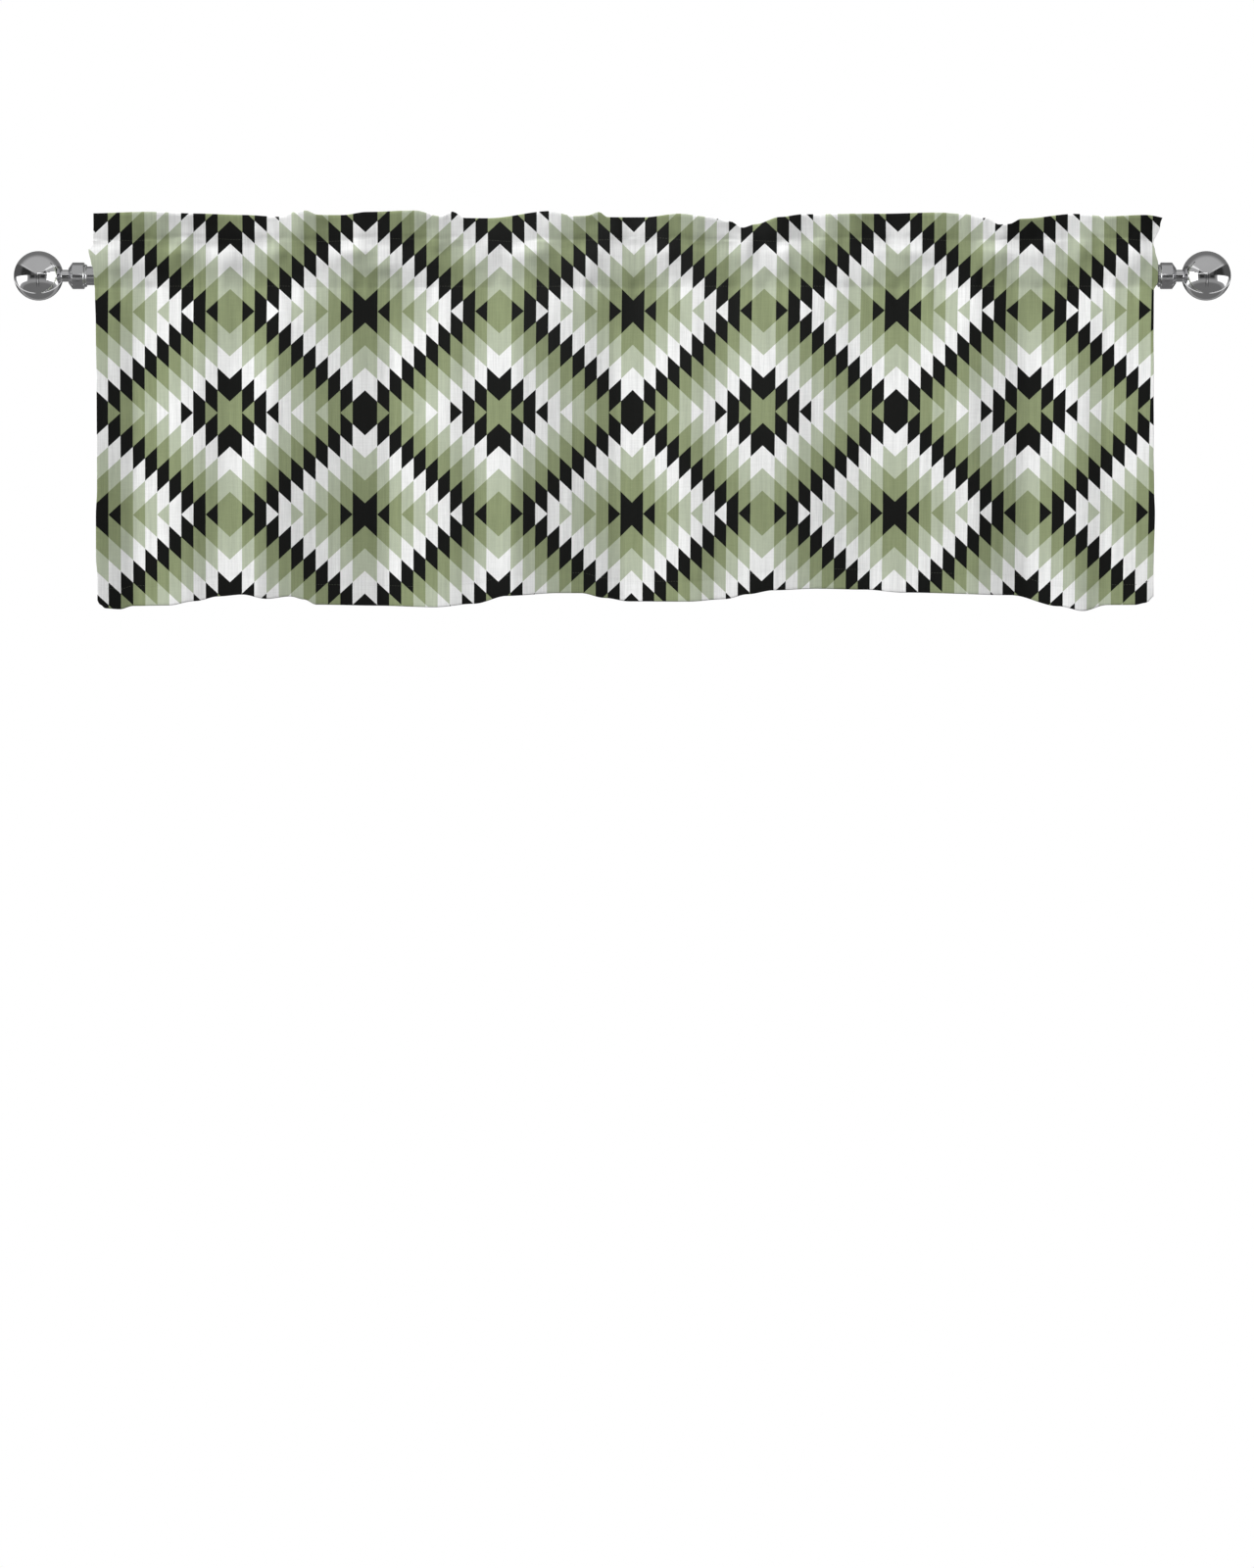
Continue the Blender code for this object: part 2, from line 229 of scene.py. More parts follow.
def gather(x, z):
    # gathers fade away from both seams
    above = abs(z - headerSeamAt(x))
    below = cloth["pocketSeam"] - z
    start = cloth["gatherStart"]
    amount = exp(-above / cloth["gatherFadeUp"]) * cloth["gatherAtHeader"]
    if below > -start:
        fade = exp(-max(below, 0) / cloth["gatherFadeDown"])
        amount = max(amount, fade * min(1, (below + start) / start))
    return cloth["gatherRipple"] * amount * ripple(x, z)


def softWave(x, z):
    # faint slackness of the hanging cloth
    wave = sin(x / 23 + z / 61) * sin(z / 47 + x / 90) + 0.5 * sin(x / 11 + z / 35 + 2)
    return cloth["softRipple"] * wave


def headerOut(x, z):
    # middle between the header's two plies
    seam = headerSeamAt(x)
    up = max(0, (z - seam) / (tableValue(cloth["headerEdge"], x) - seam))
    low, high = cloth["stepRise"]
    rise = min(max((z - low) / (high - low), 0), 1)
    step = tableValue(cloth["headerStep"], x) * rise * rise * (3 - 2 * rise)
    lift = tableValue(cloth["pocketLift"], x)
    lean = tableValue(cloth["headerLean"], x) * up
    return cloth["headerSeamOut"] + lift + step + lean + puffAt(x, z) * cloth["puffAtHeader"]


def tangentAngle(apex, side):
    # where a ply leaves the circle around the rod for its seam; side 1 is the front ply
    radius = cloth["rodRadius"] + cloth["rodGap"]
    return atan2(apex[1], apex[0]) - side * acos(radius / hypot(*apex))


def pocketFront(x, low, high):
    # control points of the tunnel's front side, from the lower seam up: out, z
    points = []
    lift = 0
    flushOut, flushZ, flushMost = cloth["flush"]
    for z, out in cloth["pocketFront"]:
        flush = low[0] + (flushOut - low[0]) * (z - low[1]) / (flushZ - low[1])
        points.append((max(out, min(flush, flushMost)) + lift + puffAt(x, z), z))
        lift = tableValue(cloth["pocketLift"], x)  # from the second point up
    return [low, *points, high]


def pocketBack(x, low, high):
    # control points of the tunnel's back side: around the back of the rod and up to the header seam
    start = tangentAngle(low, 1)
    end = tangentAngle(high, -1) - 2 * pi
    steps = len(cloth["slackAround"]) - 1
    radius = (cloth["rodRadius"] + cloth["rodGap"]) / cos(abs(end - start) / (2 * steps))
    slack = cloth["backSlack"] + cloth["backPuff"] * puffAt(x + 25, 25)
    points = [low]
    for i, share in enumerate(cloth["slackAround"]):
        angle = start + (end - start) * i / steps
        reach = radius + slack * share
        points.append((reach * cos(angle), reach * sin(angle)))
    last = points[-1]
    for share, push in cloth["slackAbove"]:
        points.append((
            last[0] + (high[0] - last[0]) * share + slack * push * cos(end),
            last[1] + (high[1] - last[1]) * share + slack * push * sin(end),
        ))
    return [*points, high]


def splineThrough(points, parts):
    # smooth line through points, with the given number of steps between two of them
    line = []
    for i in range(len(points) - 1):
        a = points[max(i - 1, 0)]
        b = points[i]
        c = points[i + 1]
        d = points[min(i + 2, len(points) - 1)]
        for k in range(parts):
            t = k / parts
            line.append(tuple(
                0.5 * (2 * b[n] + (c[n] - a[n]) * t + (2 * a[n] - 5 * b[n] + 4 * c[n] - d[n]) * t * t
                       + (3 * b[n] - a[n] - 3 * c[n] + d[n]) * t ** 3)
                for n in (0, 1)
            ))
    line.append(points[-1])
    return line


def pushedOut(line, side, distance):
    # the line moved sideways, away from the tunnel
    moved = []
    for i, point in enumerate(line):
        before = line[max(i - 1, 0)]
        after = line[min(i + 1, len(line) - 1)]
        alongOut = after[0] - before[0]
        alongUp = after[1] - before[1]
        size = hypot(alongOut, alongUp) or 1
        push = side * distance / size
        moved.append((point[0] + alongUp * push, point[1] - alongOut * push))
    return moved


def clothSection(x):
    # the cloth cut through at x, as (out, z): foot, front, crest, back, then the tunnel's front and back
    ply = cloth["ply"]
    hem = tableValue(cloth["hemEdge"], x)
    top = tableValue(cloth["headerEdge"], x)
    seam = cloth["pocketSeam"]
    edgeNear = min(x - cloth["leftEdge"], cloth["rightEdge"] - x)
    extra = ply if edgeNear <= cloth["sideHem"] + 0.01 else 0
    hemTop = hem + cloth["bottomHem"]
    under = seam - cloth["seamAllowance"]
    parts = 8
    foldLevels = [foldOut(x, k / parts) for k in range(parts + 1)]
    grooveDepth, grooveBelow, grooveWidth = cloth["stitchGroove"]

    def bodyOut(z):
        down = min(max((seam - z) / (seam - hem), 0), 1) * parts
        k = min(int(down), parts - 1)
        base = foldLevels[k] + (foldLevels[k + 1] - foldLevels[k]) * (down - k)
        calm = min(1, (seam - z) / 30)
        groove = grooveDepth * exp(-(((z - hemTop + grooveBelow) / grooveWidth) ** 2))
        return base + gather(x, z) + softWave(x, z) * calm - groove

    levels = [hem + rise for rise in cloth["hemLevels"]]
    levels += [hemTop + rise for rise in cloth["hemTopLevels"]]
    rows = cloth["bodyRows"]
    firstRow = hemTop + 3
    levels += [firstRow + (under - 1 - firstRow) * k / rows for k in range(rows + 1)]
    levels += [under - 0.3, under, seam]
    front = []
    back = []
    for z in levels:
        out = bodyOut(z)
        inHem = z < hemTop
        inSeam = z >= under
        half = ply / 2 if z > hem + 0.5 else ply * 0.4
        front.append((out + half, z))
        back.append((out - half - ply * (inHem or inSeam) - extra, z))
    low = (front[-1][0] - ply, seam)
    upperSeam = headerSeamAt(x)
    high = (headerOut(x, upperSeam), upperSeam)
    tunnels = []
    # as many rows in front as behind
    for side, outer, controls, between, more in (
        (1, front, pocketFront(x, low, high), 4, 0), (-1, back, pocketBack(x, low, high), 3, extra),
    ):
        inner = splineThrough(controls, between)
        if side > 0:
            inner = [*inner, high]
            inner[-2] = tuple((inner[-3][n] + high[n]) / 2 for n in (0, 1))
        size = len(inner)
        crumple = []
        for i, (out, z) in enumerate(inner):
            nearSeam = (size - 1 - i) / 2
            if side > 0:
                nearSeam = 0.7 + 0.3 * nearSeam  # the front carries its creases across the upper seam
            height = max(gather(x, z) * 0.8, -0.1) + crease(x, z) * (side > 0)
            crumple.append(height * min(1, i / 4, nearSeam))
        moved = pushedOut(inner, side, ply + more)
        for i, (out, z) in enumerate(moved[1:-1], 1):
            outer.append((out + side * crumple[i], z))
        tunnels.append(inner)
    rows = cloth["headerRows"]
    for k in range(rows):
        up = k / (rows - 1)
        z = upperSeam + (top - 1.0 - upperSeam) * up
        middle = headerOut(x, z)
        ruffle = gather(x, z) + crease(x, z)
        front.append((middle + ruffle * min(1, up * 3 + 0.7) + ply, z))
        back.append((middle + ruffle * min(1, up * 3 + 0.2) - ply - extra, z))
    tip = headerOut(x, top) + gather(x, top) + crease(x, top)
    crest = (tip - extra / 2, top)
    nearCrest = ((tip + ply * 0.7, top - 0.35), (tip - ply * 0.7 - extra, top - 0.35))
    foot = ((front[0][0] + back[0][0]) / 2, hem)
    return foot, front + [nearCrest[0]], crest, back + [nearCrest[1]], tunnels[0], tunnels[1]


def edgeShift(x, z):
    # how far the uneven side edges move the cloth beside them
    rows = [(-row[0], row[1], row[2]) for row in cloth["sideEdges"]]
    left = max(0.0, 1 - (x - cloth["leftEdge"]) / cloth["edgeReach"]) ** 2
    right = max(0.0, 1 - (cloth["rightEdge"] - x) / cloth["edgeReach"]) ** 2
    return tableValue(rows, -z, 1) * left + tableValue(rows, -z, 2) * right


def stationList():
    # where the cloth's columns stand, closer together in the side hems
    first = cloth["leftEdge"] + cloth["sideHem"]
    last = cloth["rightEdge"] - cloth["sideHem"]
    gap = 0.6
    span = last - first - 2 * gap
    steps = round(span / cloth["columnStep"])
    middle = [first + gap + span * i / steps for i in range(steps + 1)]
    left = [cloth["leftEdge"] + inwards for inwards in cloth["edgeColumns"]]
    right = [cloth["rightEdge"] - inwards for inwards in reversed(cloth["edgeColumns"])]
    return left + [first] + middle + [last] + right


def seamRow():
    # row of the section at the lower seam, counted from the hem
    return len(cloth["hemLevels"]) + len(cloth["hemTopLevels"]) + cloth["bodyRows"] + 3


# where the print lies on the cloth, in millimetres
printing = {
    # x, strip number; the strips right of the middle are a little narrower
    "strips": (
        (-615.1, -22), (-458.6, -11), (-301.0, 0), (-144.2, 11), (-1.7, 21), (11.7, 22),
        (24.6, 23), (164.2, 33), (319.4, 44), (474.9, 55), (630.0, 66),
    ),
    "cellHeight": 26.29,
    "middleZ": -41.6,
    "tilt": 0.0022,
    # how far the print sits lower at the pocket: x, shift
    "pocketSlip": ((-450, 0), (-300, 0.35), (-100, 1.1), (100, 0.9), (300, 1.1), (500, 2.0)),
    "slipRise": (-50, -30),  # height over which that shift comes in
}


def stripAt(x):
    for a, b in zip(printing["strips"], printing["strips"][1:]):
        if x <= b[0]:
            break
    return a[1] + (b[1] - a[1]) * (x - a[0]) / (b[0] - a[0])


def cellAt(x, z):
    # the pocket takes up a little of the print's height
    low, high = printing["slipRise"]
    slip = tableValue(printing["pocketSlip"], x) * min(max((z - low) / (high - low), 0), 1)
    return (z + slip - printing["middleZ"] - printing["tilt"] * x) / printing["cellHeight"]


def newObject(name, data):
    obj = bpy.data.objects.new(name, data)
    bpy.context.scene.collection.objects.link(obj)
    return obj


def makeCloth():
    stations = stationList()
    sections = [clothSection(x) for x in stations]
    count = len(sections[0][1])
    mesh = bpy.data.meshes.new("valanceCloth")
    bm = bmesh.new()
    uv = bm.loops.layers.uv.new("printMap")
    rings = []
    for x, (foot, front, crest, back, tunnelFront, tunnelBack) in zip(stations, sections):
        outside = [foot, *front, crest, *reversed(back)]
        tunnel = [*tunnelFront, *reversed(tunnelBack[1:-1])]
        rings.append([
            [
                bm.verts.new(((x + edgeShift(x, z) + hangShift(x, z)) * mm, -out * mm, z * mm))
                for out, z in ring
            ]
            for ring in (outside, tunnel)
        ])
    hemRows = len(cloth["hemLevels"]) + len(cloth["hemTopLevels"])
    pocketRow = seamRow() - 1  # first row of the back ply, counted from the hem
    edgeColumns = len(cloth["edgeColumns"])
    edges = (cloth["leftEdge"], cloth["rightEdge"])

    def paint(face, kind, column):
        # the kind of face is front, over, reverse or hem
        # side hems on the back show the print turned around the edge
        hem = tableValue(cloth["hemEdge"], stations[column])
        top = tableValue(cloth["headerEdge"], stations[column])
        for loop in face.loops:
            x = loop.vert.co.x / mm
            z = loop.vert.co.z / mm
            x -= hangShift(x, z)
            strip = stripAt(x)
            if kind in ("reverse", "hem"):
                if column < edgeColumns:
                    strip = 2 * stripAt(edges[0]) - strip
                elif column >= len(stations) - edgeColumns - 1:
                    strip = 2 * stripAt(edges[1]) - strip
            height = z
            if kind == "over":
                height = 2 * top - z
            elif kind == "hem":
                height = 2 * hem - z
            loop[uv].uv = (strip, cellAt(x, height))

    total = 2 * count + 2
    for column in range(len(stations) - 1):
        here = rings[column]
        there = rings[column + 1]
        for i in range(total):
            j = (i + 1) % total
            face = bm.faces.new((here[0][i], here[0][j], there[0][j], there[0][i]))
            fromHem = total - 1 - i  # row of a back face, counted from the hem
            kind = "front"
            if i > count:
                kind = "over" if fromHem >= pocketRow else "reverse"
                if fromHem < hemRows:
                    kind = "hem"
            paint(face, kind, column)
            sideHem = column < edgeColumns + 1 or column >= len(stations) - edgeColumns - 2
            face.material_index = 1 if kind == "reverse" and not sideHem else 0
            face.smooth = True
        size = len(here[1])
        for i in range(size):
            j = (i + 1) % size
            face = bm.faces.new((here[1][j], here[1][i], there[1][i], there[1][j]))
            paint(face, "front", column)
            face.material_index = 1
            face.smooth = True
    for column in (0, len(stations) - 1):
        closeEnd(bm, rings[column], count, pocketRow, column, paint)
    bmesh.ops.recalc_face_normals(bm, faces=bm.faces)
    bm.to_mesh(mesh)
    bm.free()
    return newObject("valanceCloth", mesh)


def closeEnd(bm, ring, count, pocketRow, column, paint):
    # faces of the cut edge, around the mouth of the tunnel
    outside, tunnel = ring
    foot = outside[0]
    front = outside[1:count + 1]
    crest = outside[count + 1]
    back = outside[:count + 1:-1]
    reach = (len(tunnel) - 2) // 2
    tunnelFront = tunnel[:reach + 2]
    tunnelBack = [tunnel[0], *tunnel[:reach + 1:-1], tunnel[reach + 1]]
    low = pocketRow
    high = low + reach + 1
    made = [
        bm.faces.new((foot, front[0], back[0])),
        bm.faces.new((crest, front[-1], back[-1])),
        bm.faces.new((front[low], tunnelFront[0], back[low])),
        bm.faces.new((front[high], tunnelFront[-1], back[high])),
    ]
    for i in [*range(low), *range(high, count - 1)]:
        made.append(bm.faces.new((front[i], front[i + 1], back[i + 1], back[i])))
    for side, inner in ((front, tunnelFront), (back, tunnelBack)):
        for i in range(reach + 1):
            made.append(bm.faces.new((side[low + i], side[low + i + 1], inner[i + 1], inner[i])))
    for face in made:
        paint(face, "front", min(column, len(stationList()) - 2))


# rows of stitches at the hem and at both seams of the pocket, in millimetres
stitches = {
    "pitch": 3.2,
    "length": 2.5,
    "radius": 0.21,
    "sides": 5,
    "sink": 0.13,
    "fromEdge": 4.0,
    # along the stitch from its middle and thickness there, as shares
    "shape": ((-0.8, 0.7), (0.0, 1.0), (0.8, 0.7)),
    "bow": 0.15,
    "tipDepth": 0.3,
    "hemRow": 6,
    "pocketRows": 21,  # from the lower seam up to the upper one
}


def addStitch(bm, middle, along, outward):
    # one stitch as a small grain lying on the cloth
    made = []
    along.normalize()
    outward = (outward - along * outward.dot(along)).normalized()
    across = along.cross(outward)
    half = stitches["length"] / 2
    rings = []
    for place, size in stitches["shape"]:
        centre = middle + along * (place * half) - outward * (stitches["bow"] * abs(place))
        ring = []
        for k in range(stitches["sides"]):
            angle = 2 * pi * k / stitches["sides"]
            spoke = across * cos(angle) + outward * sin(angle)
            ring.append(bm.verts.new((centre + spoke * stitches["radius"] * size) * mm))
        rings.append(ring)
    depth = outward * stitches["tipDepth"]
    tips = [bm.verts.new((middle + along * (half * end) - depth) * mm) for end in (-1, 1)]
    n = stitches["sides"]
    for a, b in zip(rings, rings[1:]):
        for k in range(n):
            made.append(bm.faces.new((a[k], a[(k + 1) % n], b[(k + 1) % n], b[k])))
    for k in range(n):
        made.append(bm.faces.new((rings[0][(k + 1) % n], rings[0][k], tips[0])))
        made.append(bm.faces.new((rings[-1][k], rings[-1][(k + 1) % n], tips[1])))
    return made


def surfacePoint(x, row, backSide):
    # point of the cloth's front or back at a row of the section, counted from the hem
    foot, front, crest, back, tunnelFront, tunnelBack = clothSection(x)
    out, z = (back if backSide else front)[row]
    lift = stitches["radius"] - stitches["sink"]
    out += -lift if backSide else lift
    return Vector((x + edgeShift(x, z) + hangShift(x, z), -out, z))


def makeStitching():
    bm = bmesh.new()
    uv = bm.loops.layers.uv.new("printMap")
    hemRow = stitches["hemRow"]
    pocketRow = seamRow()
    headerRow = pocketRow + stitches["pocketRows"]
    first = cloth["leftEdge"] + stitches["fromEdge"]
    last = cloth["rightEdge"] - stitches["fromEdge"]
    number = int((last - first) / stitches["pitch"])
    for row, backSide in ((hemRow, False), (pocketRow, False), (headerRow, False),
                          (hemRow, True), (pocketRow - 1, True), (headerRow, True)):
        for i in range(number):
            x = first + (last - first) * (i + 0.5) / number
            a = surfacePoint(x - stitches["length"] / 2, row, backSide)
            b = surfacePoint(x + stitches["length"] / 2, row, backSide)
            spot = (stripAt(x), cellAt(x, a.z))
            for face in addStitch(bm, (a + b) / 2, b - a, Vector((0, 1 if backSide else -1, 0))):
                face.material_index = 1 if backSide else 0
                for loop in face.loops:
                    loop[uv].uv = spot
    mesh = bpy.data.meshes.new("stitching")
    bmesh.ops.recalc_face_normals(bm, faces=bm.faces)
    for face in bm.faces:
        face.smooth = True
    bm.to_mesh(mesh)
    bm.free()
    return newObject("stitching", mesh)


valanceCloth = makeCloth()
print("cloth made,", len(valanceCloth.data.polygons), "faces")
stitching = makeStitching()
print("stitching made,", len(stitching.data.polygons), "faces")

# lengths of the metal in millimetres
rodSizes = {"radius": 11.0, "halfLength": 640.0, "sides": 96, "softEdge": 0.6}
collarSizes = {
    "start": 625.0,
    "sides": 96,
    "softEdge": 0.35,
    # distance from the inner end and radius
    "profile": (
        (0.0, 12.6), (0.4, 12.95), (1.9, 13.4), (1.91, 12.5), (2.8, 12.5), (2.81, 14.7), (3.6, 15.5),
        (16.6, 15.5), (21.2, 8.75),
    ),
}
finialSizes = {
    "centre": 681.5,
    "radius": 28.8,
    "segments": 128,
    "rings": 64,
    "neckRadius": 7.0,
    "neckStart": 645.8,
    "neckStep": 0.3,
}


def deselectAll():
    bpy.ops.object.select_all(action="DESELECT")


def placeIntoMesh(obj):
    # the finished piece sits at the origin with its place in its mesh
    deselectAll()
    obj.select_set(True)
    bpy.context.view_layer.objects.active = obj
    bpy.ops.object.transform_apply(location=True, rotation=True, scale=True)


def startShaping(name):
    # names the new primitive, puts its place into its mesh and opens it in edit mode
    obj = bpy.context.object
    obj.name = name
    placeIntoMesh(obj)
    bpy.ops.object.mode_set(mode="EDIT")
    return obj


def selectWhere(obj, chosen):
    # in edit mode, selects the vertices whose places pass a test, and gives those places
    bpy.ops.mesh.select_all(action="DESELECT")
    bm = bmesh.from_edit_mesh(obj.data)
    places = []
    for vert in bm.verts:
        if chosen(vert.co):
            vert.select_set(True)
            places.append(vert.co.copy())
    bm.select_flush(True)
    bmesh.update_edit_mesh(obj.data)
    return places


def extrudeAlong(profile, start):
    # the selected end face is drawn out along the rod through (distance, radius) pairs
    for (x0, r0), (x1, r1) in zip(profile, profile[1:]):
        bpy.ops.mesh.extrude_region_move(TRANSFORM_OT_translate={"value": ((x1 - x0) * mm, 0, 0)})
        bpy.ops.transform.resize(
            value=(1, r1 / r0, r1 / r0), center_override=((start + x1) * mm, 0, 0)
        )


def softenSharpEdges(width, angle=22):
    bpy.ops.mesh.select_all(action="DESELECT")
    bpy.ops.mesh.select_mode(type="EDGE")
    bpy.ops.mesh.edges_select_sharp(sharpness=radians(angle))
    bpy.ops.mesh.bevel(offset=width * mm, segments=3, profile=0.6)
    bpy.ops.mesh.select_mode(type="VERT")


def finishMetal(obj):
    bpy.ops.mesh.select_all(action="SELECT")
    bpy.ops.mesh.remove_doubles(threshold=0.000005)
    bpy.ops.mesh.normals_make_consistent(inside=False)
    bpy.ops.object.mode_set(mode="OBJECT")
    bpy.ops.object.shade_smooth_by_angle(angle=radians(30))
    return obj


def makeRod():
    deselectAll()
    bpy.ops.mesh.primitive_cylinder_add(
        vertices=rodSizes["sides"], radius=rodSizes["radius"] * mm, depth=2 * rodSizes["halfLength"] * mm,
        rotation=(0, pi / 2, 0),
    )
    rod = startShaping("curtainRod")
    softenSharpEdges(rodSizes["softEdge"])
    return finishMetal(rod)


def makeCollar():
    deselectAll()
    start = collarSizes["start"]
    profile = collarSizes["profile"]
    bpy.ops.mesh.primitive_circle_add(
        vertices=collarSizes["sides"], radius=profile[0][1] * mm, fill_type="NGON",
        location=(start * mm, 0, 0), rotation=(0, pi / 2, 0),
    )
    collar = startShaping("collarRight")
    bpy.ops.mesh.select_all(action="SELECT")
    extrudeAlong(profile, start)
    softenSharpEdges(collarSizes["softEdge"])
    return finishMetal(collar)


def makeFinial():
    deselectAll()
    centre = finialSizes["centre"]
    radius = finialSizes["radius"]
    neck = finialSizes["neckRadius"]
    bpy.ops.mesh.primitive_uv_sphere_add(
        segments=finialSizes["segments"], ring_count=finialSizes["rings"], radius=radius * mm,
        location=(centre * mm, 0, 0), rotation=(0, pi / 2, 0),
    )
    finial = startShaping("finialRight")
    inside = selectWhere(finial, lambda co: co.x < centre * mm and hypot(co.y, co.z) < neck * mm)
    rim = max(hypot(co.y, co.z) for co in inside) / mm
    rimX = max(co.x for co in inside) / mm
    bpy.ops.mesh.delete(type="ONLY_FACE")
    bpy.ops.mesh.select_all(action="SELECT")
    bpy.ops.mesh.delete_loose(use_verts=True, use_edges=True, use_faces=False)
    # the neck is drawn out of the ball's opening
    selectWhere(finial, lambda co: abs(co.x - rimX * mm) < 0.02 * mm)
    neckEnd = finialSizes["neckStart"] - rimX
    extrudeAlong(((0, rim), (-finialSizes["neckStep"], neck), (neckEnd, neck)), rimX)
    bpy.ops.mesh.edge_face_add()
    return finishMetal(finial)


def otherEnd(obj, name):
    # copy for the left end, turned half a turn, with its own mesh
    copy = newObject(name, obj.data.copy())
    copy.data.name = name
    copy.data.transform(Matrix.Rotation(pi, 4, "Z"))
    return copy


curtainRod = makeRod()
collarRight = makeCollar()
collarLeft = otherEnd(collarRight, "collarLeft")
finialRight = makeFinial()
finialLeft = otherEnd(finialRight, "finialLeft")
print("rod, collars and finials made")

# the inks, named as their sockets are
inkColours = {
    "Dark Green": (0.245, 0.285, 0.155, 1),
    "Light Green": (0.44, 0.485, 0.37, 1),
    "White": (0.80, 0.805, 0.80, 1),
    "Black": (0.0062, 0.0066, 0.006, 1),
}
# the repeat: its strips and cells, inks in turn, the first of them and the slant of a strip's edges
repeat = {"strips": 22.0, "cells": 9.0, "inks": 4.0, "firstInk": 3.5, "slant": 0.5}
clothFinish = {
    "streakDepth": 0.17,
    "reverseStreakDepth": 0.05,
    "bumpStrength": 0.5,
    "bumpDistance": 0.00018,
    "sockets": {
        "Roughness": 0.82, "Specular IOR Level": 0.12, "Sheen Weight": 0.03, "Sheen Roughness": 0.5,
    },
    # the ink hardly reaches the wrong side
    "reversePale": 0.78,
    "reverseInk": 0.22,
}
threadFinish = {
    "colour": (0.30, 0.335, 0.22),
    "share": 0.15,  # the rest is the ink around it
    "twist": 900.0,
    # brightness of the painted shade in the grooves of the thread's twist
    "paintedTwistShade": 0.86,
    "roughness": 0.6,
}
ballFinish = {"Tone": (0.86, 0.86, 0.87, 1), "Base Roughness": 0.055, "Wipe Depth": 0.04}
rodFinish = {"Tone": (0.74, 0.74, 0.755, 1), "Base Roughness": 0.10, "Wipe Depth": 0.08}
metalBump = {"bumpStrength": 0.04, "bumpDistance": 0.00005}


def newGroup(name, inputs, outputs):
    # shader node group with named sockets
    group = bpy.data.node_groups.new(name, "ShaderNodeTree")
    for label, kind, value in inputs:
        socket = group.interface.new_socket(label, in_out="INPUT", socket_type="NodeSocket" + kind)
        if value is not None:
            socket.default_value = value
    for label, kind in outputs:
        group.interface.new_socket(label, in_out="OUTPUT", socket_type="NodeSocket" + kind)
    return group


class Wiring:
    # short way to place nodes and join them
    def __init__(self, tree):
        self.tree = tree
        self.column = 0

    def fill(self, item, values):
        for key, value in values.items():
            socket = item.inputs[key]
            if isinstance(value, bpy.types.NodeSocket):
                self.tree.links.new(value, socket)
            else:
                socket.default_value = value

    def node(self, kind, values=None, **settings):
        item = self.tree.nodes.new(kind)
        item.location = (self.column * 180, -(self.column % 4) * 160)
        self.column += 1
        for key, value in settings.items():
            setattr(item, key, value)
        self.fill(item, values or {})
        return item

    def math(self, operation, *values):
        return self.node("ShaderNodeMath", dict(enumerate(values)), operation=operation).outputs[0]

    def vectorMath(self, operation, values):
        return self.node("ShaderNodeVectorMath", values, operation=operation).outputs[0]

    def plus(self, a, b):
        return self.math("ADD", a, b)

    def minus(self, a, b):
        return self.math("SUBTRACT", a, b)

    def times(self, first, *others):
        for other in others:
            first = self.math("MULTIPLY", first, other)
        return first

    def split(self, vector):
        return self.node("ShaderNodeSeparateXYZ", {0: vector}).outputs

    def mixColours(self, amount, a, b, **settings):
        values = {"Factor": amount, 6: a, 7: b}
        return self.node("ShaderNodeMix", values, data_type="RGBA", **settings).outputs[2]

    def noise(self, place, scale, detail, roughness=0.5, **settings):
        values = {"Vector": place, "Scale": scale, "Detail": detail, "Roughness": roughness}
        return self.node("ShaderNodeTexNoise", values, **settings).outputs[0]

    def bump(self, height, finish):
        values = {"Strength": finish["bumpStrength"], "Distance": finish["bumpDistance"], "Height": height}
        return self.node("ShaderNodeBump", values).outputs[0]


def makePrintGroup():
    # stepped diamonds worked out by one rule: strips across, cells down, four inks in turn
    inks = [(label, "Color", ink) for label, ink in inkColours.items()]
    group = newGroup("steppedDiamonds", [("Print Map", "Vector", None), *inks], [("Colour", "Color")])
    halfStrips = repeat["strips"] / 2
    halfCells = repeat["cells"] / 2
    w = Wiring(group)
    given = w.node("NodeGroupInput").outputs
    across, down = w.split(given["Print Map"])[:2]
    # strips and cells away from the middle of a diamond
    strip = w.math("FLOORED_MODULO", w.plus(across, halfStrips), repeat["strips"])
    strip = w.math("ABSOLUTE", w.minus(strip, halfStrips))
    cell = w.math("FLOORED_MODULO", w.plus(down, halfCells), repeat["cells"])
    cell = w.math("ABSOLUTE", w.minus(cell, halfCells))
    # each strip's edges slant, and each strip sits lower than the last
    step = w.math("MINIMUM", w.math("FLOOR", strip), halfStrips - 1)
    slant = w.times(w.minus(step, w.minus(strip, step)), repeat["slant"])
    level = w.plus(w.plus(cell, slant), repeat["firstInk"])
    ink = w.math("FLOOR", w.math("FLOORED_MODULO", level, repeat["inks"]))
    first, *others = inkColours
    shade = given[first]
    for number, label in enumerate(others, 1):
        shade = w.mixColours(w.math("COMPARE", ink, float(number), 0.4), shade, given[label])
    w.node("NodeGroupOutput", {"Colour": shade})
    return group


